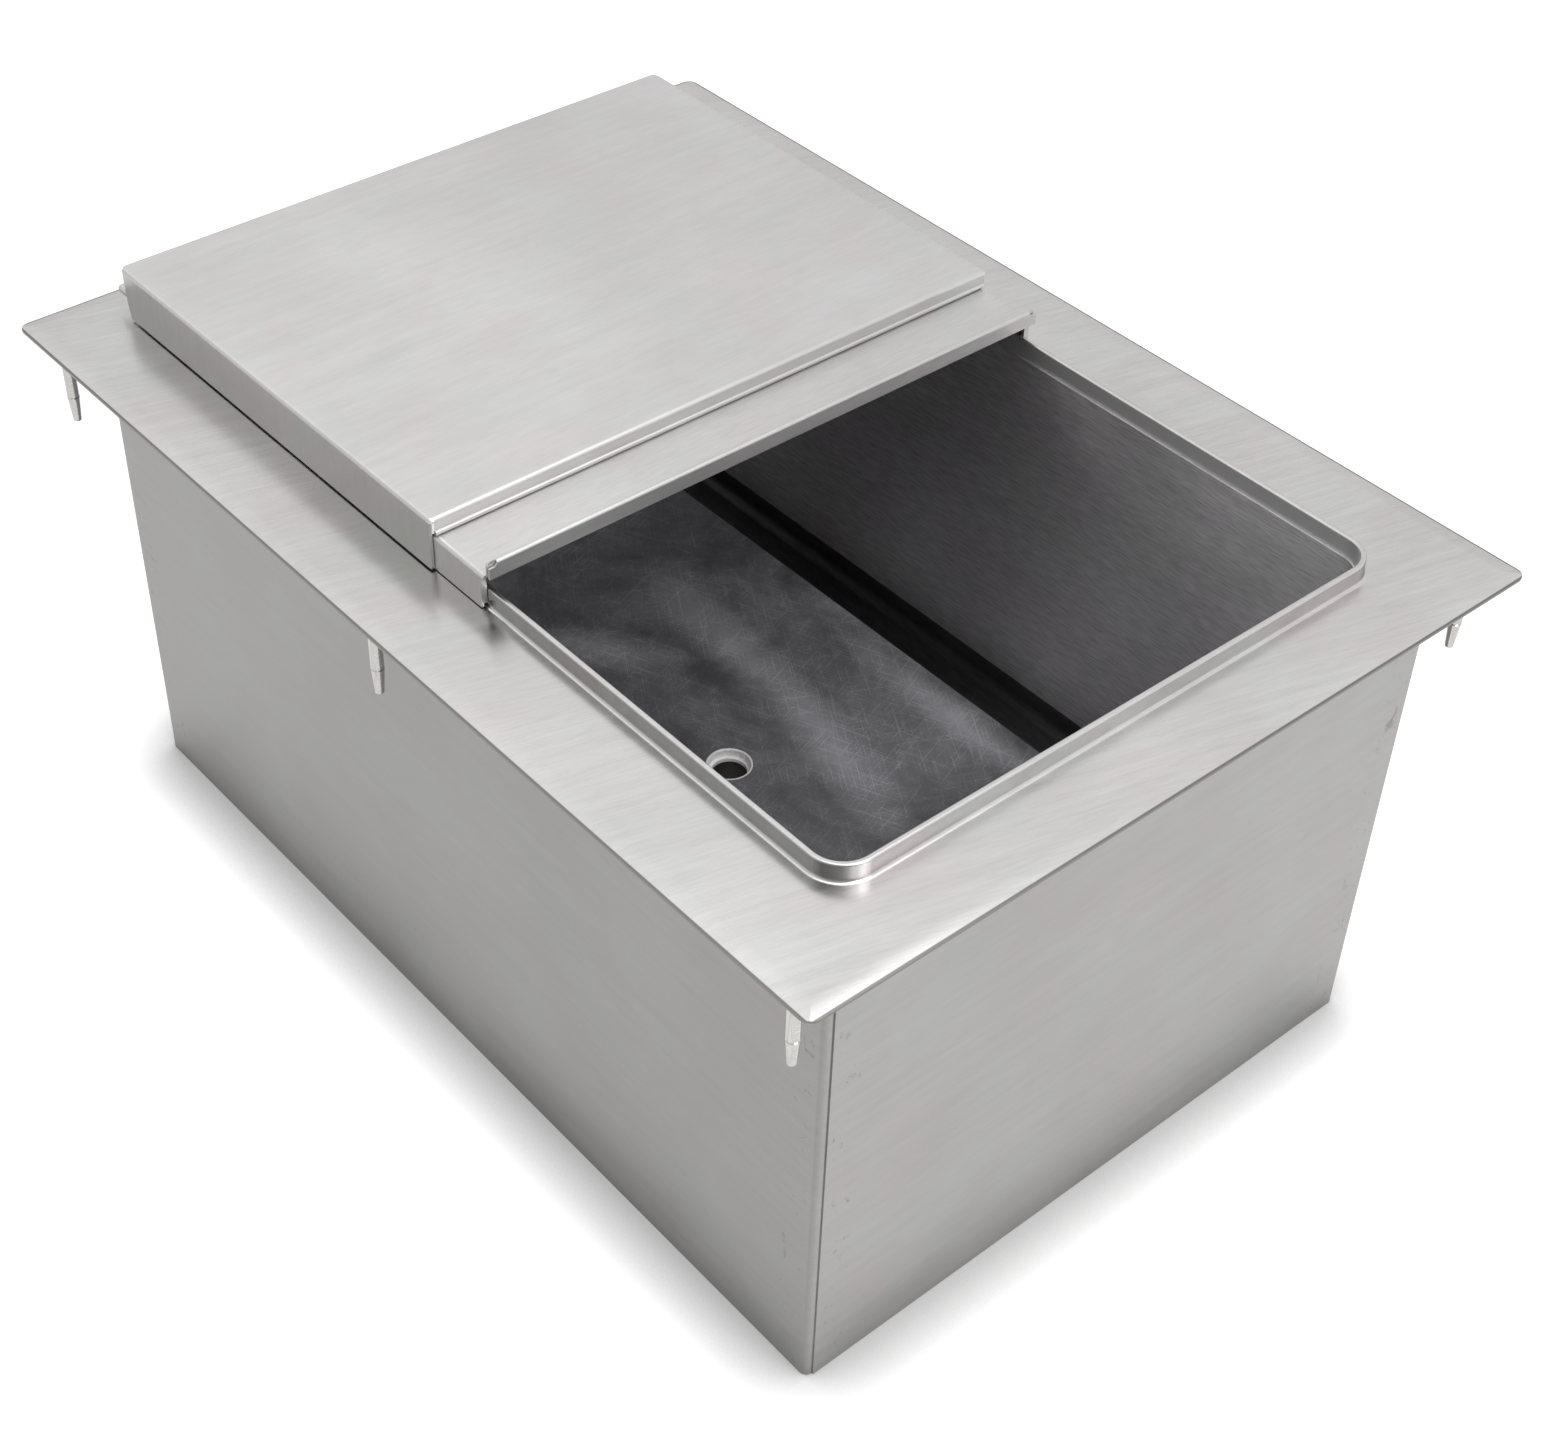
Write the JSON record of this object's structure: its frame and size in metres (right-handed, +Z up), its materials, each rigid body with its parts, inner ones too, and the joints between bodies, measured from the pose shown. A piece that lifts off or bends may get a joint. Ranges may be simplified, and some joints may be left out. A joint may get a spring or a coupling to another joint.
{
  "type": "drop-in ice bin",
  "caption": "Insulated steel ice bin that hangs by a flange in a counter cut-out, with a cast floor plate, a floor drain and nested sliding covers.",
  "frame": {"origin": "centre of the case's foot, on the plane it stands on", "axes": "+X along the long side towards the open end, +Z up"},
  "size_m": [0.61, 0.439, 0.3139],
  "materials": {
    "brushed_steel": "satin, fine straight brushing",
    "case_steel": "satin mill finish, fine brushing",
    "liner_steel": "satin, lengthwise brushing",
    "polished_steel": "polished",
    "pipe_steel": "dull, turned",
    "cast_aluminium": "dull, worn by scoops",
    "insulation_foam": "fine closed-cell foam",
    "grommet_rubber": "matte"
  },
  "bodies": {
    "bin": {"flange_deck": "brushed_steel", "liner_walls": "liner_steel", "liner_floor": "liner_steel", "floor_plate": "cast_aluminium", "case_front": "case_steel", "case_back": "case_steel", "case_left": "case_steel", "case_right": "case_steel", "case_bottom": "case_steel", "insulation_front": "insulation_foam", "insulation_back": "insulation_foam", "insulation_left": "insulation_foam", "insulation_right": "insulation_foam", "insulation_base": "insulation_foam", "drain_collar": "polished_steel", "drain_pipe": "pipe_steel", "drain_socket": "pipe_steel", "drain_grommet": "grommet_rubber", "mounting_studs": "polished_steel", "stud_noses": "polished_steel"},
    "upper_cover": {"upper_cover": "brushed_steel"},
    "lower_cover": {"lower_cover": "brushed_steel"}
  },
  "joints": [
    {"name": "upper_cover_slide", "type": "slide", "parent": "bin", "child": "upper_cover", "axis": [1, 0, 0], "range_m": [0, 0.246]},
    {"name": "lower_cover_slide", "type": "slide", "parent": "upper_cover", "child": "lower_cover", "axis": [1, 0, 0], "range_m": [0, 0.246]}
  ]
}
